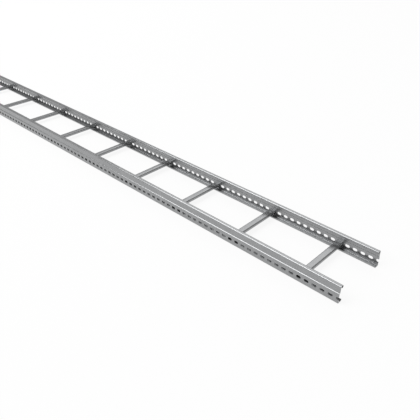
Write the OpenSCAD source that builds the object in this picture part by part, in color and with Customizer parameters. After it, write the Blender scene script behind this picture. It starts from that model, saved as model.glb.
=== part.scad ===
// Cable ladder section: two roll-formed side rails joined by channel rungs.
// X runs along the ladder, Y across it and Z up. The origin is at the middle of its underside.

/* [Ladder] */
// Length of the section
ladder_l = 3000; // [750:250:6000]
// Width over the outer faces of the slotted webs
ladder_w = 215; // [150:5:615]

/* [Side rail] */
// Height of the side rail
rail_h = 56.5; // [50:0.5:120]
// Thickness of the rail's sheet
rail_t = 1.5; // [1:0.25:2]
// Inside radius of the bends at the flange and the step
bend_r = 1.5; // [1:0.25:2]
// Width of the bottom flange
flange_w = 17; // [14:0.5:30]
// Height of the upturned lip on the bottom flange
lip_h = 6; // [5:0.5:9]
// How far the upper web is set in from the slotted lower web
step_d = 2.5; // [2:0.1:4]
// Height of the middle of that step above the underside
step_z = 33; // [30:0.5:36]
// Outside radius of the shoulder between the upper web and the top
shoulder_r = 4.5; // [3:0.25:6]
// Flat on top of the rail between the shoulder and the rolled bead
top_flat = 4; // [3:0.5:8]
// Outside radius of the bead rolled along the top edge
bead_r = 4.25; // [3.5:0.25:5]
// Angle that the bead is rolled through
bead_turn = 260; // [180:5:265]

/* [Slots] */
// Distance between slot centres along the rail
slot_pitch = 25; // [20:1:50]
// Length of a slot
slot_l = 15; // [12:0.5:18]
// Width of a slot
slot_w = 9.5; // [7:0.5:11]
// Height of the row of slots above the underside
slot_z = 17.5; // [16:0.5:20]

/* [Rungs] */
// Slots from one rung to the next
slots_per_bay = 10; // [8:1:16]
// Width of a rung
rung_w = 22; // [16:1:40]
// Depth of a rung
rung_d = 11.5; // [8:0.5:14]
// Thickness of the rung's sheet
rung_t = 1.5; // [1:0.25:2]
// Outside radius of the rung's two bends
rung_bend_r = 3; // [2.25:0.25:4]
// Height of a rung's lower edges above the underside of the rails
rung_z = 12; // [10:0.5:14]

/* [Hidden] */
$fn = 48;
STEEL = [0.62, 0.63, 0.64];
CUT_PAST = 1; // how far a cutting tool runs past each face of the sheet

// Rungs stand on the slots' pitch, and the two end lengths share what is left of the ladder.
rung_pitch = slots_per_bay * slot_pitch;
rung_n = floor(ladder_l / rung_pitch);
end_l = (ladder_l - (rung_n - 1) * rung_pitch) / 2;
end_slots = floor((end_l + slot_l / 2) / slot_pitch);
rung_l = ladder_w - 2 * rail_t;

// The step is two equal and opposite bends with a straight face between them. The face leans in
// by a slope of 4 in 3, so that the bends meet it at exact sizes.
mid_r = bend_r + rail_t / 2;
step_turn = atan2(4, 3);
step_run = (step_d - 2 * mid_r * (1 - cos(step_turn))) / sin(step_turn);
step_rise = 2 * mid_r * sin(step_turn) + step_run * cos(step_turn);

// Each strip is a list of [straight run, turn after it in degrees, radius at mid-thickness].
// A positive turn goes to the left. The rail starts at the lip's free edge and heads down.
corner_r = bend_r + rail_t;
rail_strip = [
    [lip_h - corner_r, -90, mid_r],
    [flange_w - 2 * corner_r, -90, mid_r],
    [step_z - step_rise / 2 - corner_r, -step_turn, mid_r],
    [step_run, step_turn, mid_r],
    [rail_h - shoulder_r - step_z - step_rise / 2, -90, shoulder_r - rail_t / 2],
    [top_flat, -bead_turn, bead_r - rail_t / 2]
];
rung_strip = [
    [rung_d - rung_bend_r, -90, rung_bend_r - rung_t / 2],
    [rung_w - 2 * rung_bend_r, -90, rung_bend_r - rung_t / 2],
    [rung_d - rung_bend_r, 0, 0]
];

function rung_name(i) = str("rung_", i < 10 ? "0" : "", i);
function rung_x(i) = (i - (rung_n + 1) / 2) * rung_pitch;

// Part of a ring that starts straight below its centre and turns left from there.
module left_bend(turn, r, t) {
    reach = 2 * (r + t);
    difference() {
        circle(r + t / 2);
        if (r > t / 2)
            circle(r - t / 2);
        if (turn <= 180) {
            translate([-reach, -reach]) square([reach, 2 * reach]);
            rotate(turn) translate([0, -reach]) square([reach, 2 * reach]);
        } else {
            intersection() {
                translate([-reach, -reach]) square([reach, 2 * reach]);
                rotate(turn) translate([0, -reach]) square([reach, 2 * reach]);
            }
        }
    }
}

// Bent strip of sheet that starts at the origin along +X and follows its list of steps.
module bent_strip(steps, t, i = 0) {
    run = steps[i][0];
    turn = steps[i][1];
    r = steps[i][2];
    side = sign(turn);
    if (run > 0)
        translate([0, -t / 2]) square([run, t]);
    translate([run, 0]) {
        if (turn > 0)
            translate([0, r]) left_bend(turn, r, t);
        if (turn < 0)
            translate([0, -r]) mirror([0, 1]) left_bend(-turn, r, t);
        if (i + 1 < len(steps))
            translate([r * sin(abs(turn)), side * r * (1 - cos(turn))])
                rotate(turn) bent_strip(steps, t, i + 1);
    }
}

// Rail section in Y and Z, with the slotted web's outer face at zero and the flange towards +Y.
module rail_section() {
    translate([flange_w - rail_t / 2, lip_h]) rotate(-90) bent_strip(rail_strip, rail_t);
}

module slot_cut() {
    rotate([90, 0, 0]) linear_extrude(2 * CUT_PAST + 2 * rail_t, center = true) {
        square([slot_l - slot_w, slot_w], center = true);
        for (side = [-1, 1])
            translate([side * (slot_l - slot_w) / 2, 0]) circle(slot_w / 2);
    }
}

// One side rail, with its slotted web's outer face in the plane Y = 0.
module side_rail() {
    color(STEEL) difference() {
        translate([-ladder_l / 2, 0, 0]) rotate([90, 0, 90])
            linear_extrude(ladder_l) rail_section();
        for (k = [-end_slots : (rung_n - 1) * slots_per_bay + end_slots])
            translate([rung_x(1) + k * slot_pitch, rail_t / 2, slot_z]) slot_cut();
    }
}

module side_rail_front() {
    translate([0, -ladder_w / 2, 0]) side_rail();
}

module side_rail_rear() {
    mirror([0, 1, 0]) side_rail_front();
}

// A rung is a channel with its open side down. Its ends are welded to the inside of the webs.
module rung(i) {
    color(STEEL) translate([rung_x(i), 0, 0]) rotate([90, 0, 0])
        linear_extrude(rung_l, center = true)
            translate([-(rung_w - rung_t) / 2, rung_z]) rotate(90) bent_strip(rung_strip, rung_t);
}

side_rail_front();
side_rail_rear();
for (i = [1 : rung_n])
    rung(i);
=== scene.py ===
"""A cable ladder section: two roll-formed side rails of galvanised sheet and the rungs between them."""
import math

import bpy
from mathutils import Matrix, Vector


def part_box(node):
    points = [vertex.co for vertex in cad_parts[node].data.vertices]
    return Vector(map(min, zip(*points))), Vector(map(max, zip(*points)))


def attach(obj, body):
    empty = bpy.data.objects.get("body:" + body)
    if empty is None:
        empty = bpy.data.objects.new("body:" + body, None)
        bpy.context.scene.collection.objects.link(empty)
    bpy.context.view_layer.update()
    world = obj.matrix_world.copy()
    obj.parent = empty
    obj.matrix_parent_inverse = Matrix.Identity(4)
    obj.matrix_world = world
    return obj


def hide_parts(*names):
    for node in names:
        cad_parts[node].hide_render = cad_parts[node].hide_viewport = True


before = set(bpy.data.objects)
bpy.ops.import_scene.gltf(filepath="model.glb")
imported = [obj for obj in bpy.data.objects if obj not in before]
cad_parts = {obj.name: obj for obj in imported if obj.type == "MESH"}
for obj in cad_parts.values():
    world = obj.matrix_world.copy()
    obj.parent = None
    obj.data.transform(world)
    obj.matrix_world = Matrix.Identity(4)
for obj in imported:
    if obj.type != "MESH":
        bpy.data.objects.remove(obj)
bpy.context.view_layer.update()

MM = 0.001

# Rungs: a closed flat tube
RUNG_CORNER = 4 * MM      # outside radius of the rolled corners
RUNG_WALL = 1.5 * MM
CORNER_SEGMENTS = 8

# Galvanised sheet, with sizes in metres
STEEL_COLOUR = "#98999A"
SHEARED_COLOUR = "#7E7F80"
STEEL_METALLIC = 0.8      # a matt film of zinc lies over the metal
STEEL_ROUGHNESS = 0.25
SHEEN_SPREAD = 0.04       # how far the roughness goes up and down with the clouds in the zinc
SHEARED_ROUGHER = 0.15
CRYSTAL_SIZE = 14 * MM
CLOUD_SIZE = 90 * MM
RIPPLE_SIZE = 12 * MM
LINE_WIDTH = 2 * MM
LINE_STRETCH = 0.01       # a line is a hundred times as long as it is wide
CRYSTAL_TONE = 0.3        # share of the crystals in the tone, against 1 for the clouds
LINE_TONE = 0.5
TONE_SPREAD = 0.07
SLOT_ROW_MIDDLE = 17.5 * MM
SLOT_ROW_HALF = 4.9 * MM  # half the height of the band in which the slots' sheared edges lie

# Studio
SURROUND = 0.5
LAMP_DISTANCE = 12
KEY = ((180, 70), (-115, 28), 7, 3.5)
FAR = ((95, 42), (150, 42), 6, 1.2)
FLOOR_SIZE = 80
FLOOR_SHARE = 0.88        # how much of the floor that is looked at shines by itself and takes no shadow


# ---------------------------------------------------------------- colours and nodes

def linear(hex_colour):
    """An sRGB hex colour as linear RGBA."""
    channels = [int(hex_colour[i:i + 2], 16) / 255 for i in (1, 3, 5)]
    return [c / 12.92 if c <= 0.04045 else ((c + 0.055) / 1.055) ** 2.4 for c in channels] + [1]


def add_node(tree, kind, settings=(), **links):
    """Adds a node. settings are its properties and sockets by name; links join its sockets to others."""
    node = tree.nodes.new(kind)
    for name, value in dict(settings).items():
        if isinstance(name, int) or name in node.inputs:
            node.inputs[name].default_value = value
        else:
            setattr(node, name, value)
    for name, source in links.items():
        socket = node.inputs[int(name[1:])] if name[0] == "i" and name[1:].isdigit() else node.inputs[name]
        tree.links.new(source, socket)
    return node


def new_material(name):
    material = bpy.data.materials.new(name)
    material.use_nodes = True
    material.node_tree.nodes.clear()
    return material, material.node_tree


# Pre-galvanised sheet is steel strip dipped in zinc, skin-passed and then roll-formed. To the eye it is a
# neutral grey metal with a soft satin sheen. Its zinc crystals give a very faint patchwork, the forming rolls
# leave fine lines along the strip, and the sheared edges of slots and ends are duller than the zinc faces.
def galvanised_sheet(name, along):
    """The sheet's material. along is the axis, X or Y, that the strip ran along in the rolls."""
    material, tree = new_material(name)
    place = add_node(tree, "ShaderNodeTexCoord").outputs["Object"]

    # Zinc crystals: the real ones are 1 to 3 mm on such sheet, drawn coarser here so that they show.
    spangle = add_node(tree, "ShaderNodeTexVoronoi", {"Scale": 1 / CRYSTAL_SIZE}, Vector=place)
    crystal = add_node(tree, "ShaderNodeSeparateColor", Color=spangle.outputs["Color"]).outputs[0]
    # Clouds in the zinc coat, a hand's width across, and a slight ripple of its face.
    clouds = add_node(tree, "ShaderNodeTexNoise", {"Scale": 1 / CLOUD_SIZE, "Detail": 3.0}, Vector=place)
    ripple = add_node(tree, "ShaderNodeTexNoise", {"Scale": 1 / RIPPLE_SIZE, "Detail": 1.0}, Vector=place)
    # Lines left by the rolls: half a millimetre wide on real strip, drawn coarser so that they show.
    stretch = add_node(tree, "ShaderNodeMapping",
                       {"Scale": (LINE_STRETCH, 1, 1) if along == "X" else (1, LINE_STRETCH, 1)},
                       Vector=place)
    lines = add_node(tree, "ShaderNodeTexNoise", {"Scale": 1 / LINE_WIDTH, "Detail": 2.0},
                     Vector=stretch.outputs[0])

    tone = add_node(tree, "ShaderNodeMath", {"operation": "MULTIPLY_ADD", 1: CRYSTAL_TONE}, i0=crystal,
                    i2=clouds.outputs["Fac"])
    tone = add_node(tree, "ShaderNodeMath", {"operation": "MULTIPLY_ADD", 1: LINE_TONE},
                    i0=lines.outputs["Fac"], i2=tone.outputs[0])
    tone = add_node(tree, "ShaderNodeMapRange", {"From Min": 0.5, "From Max": 1.3,
                    "To Min": 1 - TONE_SPREAD, "To Max": 1 + TONE_SPREAD}, i0=tone.outputs[0])
    zinc = add_node(tree, "ShaderNodeVectorMath", {"operation": "SCALE", 0: linear(STEEL_COLOUR)[:3]},
                    Scale=tone.outputs[0])

    # Sheared edges face along the strip, or up and down within the row of slots, which only the rails have.
    normal = add_node(tree, "ShaderNodeNewGeometry").outputs["Normal"]
    facing = add_node(tree, "ShaderNodeSeparateXYZ", Vector=normal)
    sheared = add_node(tree, "ShaderNodeMath", {"operation": "ABSOLUTE"}, i0=facing.outputs[along])
    sheared = add_node(tree, "ShaderNodeMath", {"operation": "GREATER_THAN", 1: 0.3}, i0=sheared.outputs[0])
    if along == "X":
        height = add_node(tree, "ShaderNodeSeparateXYZ", Vector=place).outputs["Z"]
        row = add_node(tree, "ShaderNodeMath",
                       {"operation": "COMPARE", 1: SLOT_ROW_MIDDLE, 2: SLOT_ROW_HALF}, i0=height)
        level = add_node(tree, "ShaderNodeMath", {"operation": "ABSOLUTE"}, i0=facing.outputs["Z"])
        level = add_node(tree, "ShaderNodeMath", {"operation": "GREATER_THAN", 1: 0.8}, i0=level.outputs[0])
        in_slot = add_node(tree, "ShaderNodeMath", {"operation": "MULTIPLY"}, i0=level.outputs[0],
                           i1=row.outputs[0])
        sheared = add_node(tree, "ShaderNodeMath", {"operation": "MAXIMUM"}, i0=sheared.outputs[0],
                           i1=in_slot.outputs[0])
    colour = add_node(tree, "ShaderNodeMix", {"data_type": "RGBA", 7: linear(SHEARED_COLOUR)},
                      i0=sheared.outputs[0], i6=zinc.outputs[0])

    sheen = add_node(tree, "ShaderNodeMapRange", {"From Min": 0.3, "From Max": 0.7,
                     "To Min": STEEL_ROUGHNESS - SHEEN_SPREAD, "To Max": STEEL_ROUGHNESS + SHEEN_SPREAD},
                     i0=clouds.outputs["Fac"])
    sheen = add_node(tree, "ShaderNodeMath", {"operation": "MULTIPLY_ADD", 1: SHEARED_ROUGHER},
                     i0=sheared.outputs[0], i2=sheen.outputs[0])
    fine = add_node(tree, "ShaderNodeBump", {"Strength": 0.25, "Distance": 0.01 * MM},
                    Height=lines.outputs["Fac"])
    coat = add_node(tree, "ShaderNodeBump", {"Strength": 0.3, "Distance": 0.05 * MM},
                    Height=ripple.outputs["Fac"], Normal=fine.outputs[0])
    steel = add_node(tree, "ShaderNodeBsdfPrincipled", {"Metallic": STEEL_METALLIC},
                     **{"Base Color": colour.outputs[2]}, Roughness=sheen.outputs[0], Normal=coat.outputs[0])
    add_node(tree, "ShaderNodeOutputMaterial", Surface=steel.outputs["BSDF"])
    return material


# ---------------------------------------------------------------- rungs

def make_rung_tube(node):
    """A closed flat tube with rolled corners, as long as the plain CAD rung and in its place."""
    low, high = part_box(node)
    bpy.ops.object.select_all(action="DESELECT")
    bpy.ops.mesh.primitive_cube_add(size=1, location=(low + high) / 2)
    tube = bpy.context.object
    tube.name = node.replace("rung", "rung_tube")
    tube.data.name = tube.name
    tube.scale = high - low
    bpy.ops.object.transform_apply(location=True, rotation=True, scale=True)

    # The four long edges are rolled over.
    bpy.ops.object.mode_set(mode="EDIT")
    bpy.ops.mesh.select_mode(type="EDGE")
    bpy.ops.mesh.select_all(action="DESELECT")
    bpy.ops.object.mode_set(mode="OBJECT")
    for edge in tube.data.edges:
        a, b = (tube.data.vertices[v].co for v in edge.vertices)
        edge.select = abs(a.y - b.y) > RUNG_WALL
    bpy.ops.object.mode_set(mode="EDIT")
    bpy.ops.mesh.bevel(offset=RUNG_CORNER, segments=CORNER_SEGMENTS)

    # The two ends are cut off, which leaves the skin that gets its wall inwards.
    bpy.ops.mesh.select_mode(type="FACE")
    bpy.ops.mesh.select_all(action="DESELECT")
    bpy.ops.object.mode_set(mode="OBJECT")
    for face in tube.data.polygons:
        face.select = abs(face.normal.y) > 0.9
    bpy.ops.object.mode_set(mode="EDIT")
    bpy.ops.mesh.delete(type="FACE")
    bpy.ops.object.mode_set(mode="OBJECT")
    wall = tube.modifiers.new("wall", "SOLIDIFY")
    wall.thickness = RUNG_WALL
    wall.offset = -1
    bpy.ops.object.modifier_apply(modifier=wall.name)
    bpy.ops.object.shade_smooth_by_angle(angle=math.radians(30))
    return tube


rail_steel = galvanised_sheet("galvanised_rail_sheet", "X")
rung_steel = galvanised_sheet("galvanised_rung_sheet", "Y")
for name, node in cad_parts.items():
    node.data.materials.clear()
    node.data.materials.append(rung_steel if name.startswith("rung") else rail_steel)
    if name.startswith("rung"):
        rung = make_rung_tube(name)
        rung.data.materials.append(rung_steel)
        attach(rung, "root")
        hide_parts(name)

# ---------------------------------------------------------------- camera

camera_data = bpy.data.cameras.new("camera")
camera_data.lens = 42.2
camera_data.sensor_width = 36
camera_data.clip_end = 200
camera = bpy.data.objects.new("camera", camera_data)
bpy.context.scene.collection.objects.link(camera)
camera.location = (1.9066, -1.0126, 0.9040)
camera.rotation_euler = Vector((-0.5778, 0.6051, -0.5479)).to_track_quat("-Z", "Y").to_euler()
bpy.context.scene.camera = camera

# ---------------------------------------------------------------- floor

bpy.ops.object.select_all(action="DESELECT")
bpy.ops.mesh.primitive_plane_add(size=FLOOR_SIZE)
floor = bpy.context.object
floor.name = "floor"
material, tree = new_material("white_studio_floor")
path = add_node(tree, "ShaderNodeLightPath")
seen = add_node(tree, "ShaderNodeMath", {"operation": "MAXIMUM"}, i0=path.outputs["Is Camera Ray"],
                i1=path.outputs["Is Glossy Ray"])
seen = add_node(tree, "ShaderNodeMath", {"operation": "MAXIMUM"}, i0=seen.outputs[0],
                i1=path.outputs["Is Transmission Ray"])
share = add_node(tree, "ShaderNodeMath", {"operation": "MULTIPLY", 1: FLOOR_SHARE}, i0=seen.outputs[0])
paint = add_node(tree, "ShaderNodeBsdfDiffuse", {"Color": linear("#F4F4F4")})
white = add_node(tree, "ShaderNodeEmission", {"Color": (1, 1, 1, 1), "Strength": 1.0})
mix = add_node(tree, "ShaderNodeMixShader", {}, i0=share.outputs[0], i1=paint.outputs[0], i2=white.outputs[0])
add_node(tree, "ShaderNodeOutputMaterial", {}, Surface=mix.outputs[0])
floor.data.materials.append(material)

# ---------------------------------------------------------------- light

world = bpy.data.worlds.new("studio")
bpy.context.scene.world = world
world.use_nodes = True
background = world.node_tree.nodes["Background"]
background.inputs["Color"].default_value = (SURROUND, SURROUND, SURROUND, 1)
background.inputs["Strength"].default_value = 1.0


def direction(azimuth, elevation):
    """The unit vector from the ladder towards that part of the studio."""
    a, e = math.radians(azimuth), math.radians(elevation)
    return Vector((math.cos(e) * math.cos(a), math.cos(e) * math.sin(a), math.sin(e)))


def softbox(name, end_a, end_b, width, radiance):
    """A rectangular lamp whose long side runs from end_a to end_b, each an azimuth and an elevation.
    Its width is in metres, and a radiance of 1 is as bright as a white that is fully lit."""
    a, b = direction(*end_a) * LAMP_DISTANCE, direction(*end_b) * LAMP_DISTANCE
    lamp = bpy.data.lights.new(name, "AREA")
    lamp.shape = "RECTANGLE"
    lamp.size = (b - a).length
    lamp.size_y = width
    lamp.energy = radiance * math.pi * lamp.size * lamp.size_y
    lamp_object = bpy.data.objects.new(name, lamp)
    bpy.context.scene.collection.objects.link(lamp_object)
    centre = (a + b) / 2
    along, back = (b - a).normalized(), centre.normalized()
    lamp_object.matrix_world = Matrix((along, back.cross(along), back)).transposed().to_4x4()
    lamp_object.location = centre


softbox("key_softbox", *KEY)
softbox("far_softbox", *FAR)

bpy.context.scene.view_settings.view_transform = "Standard"
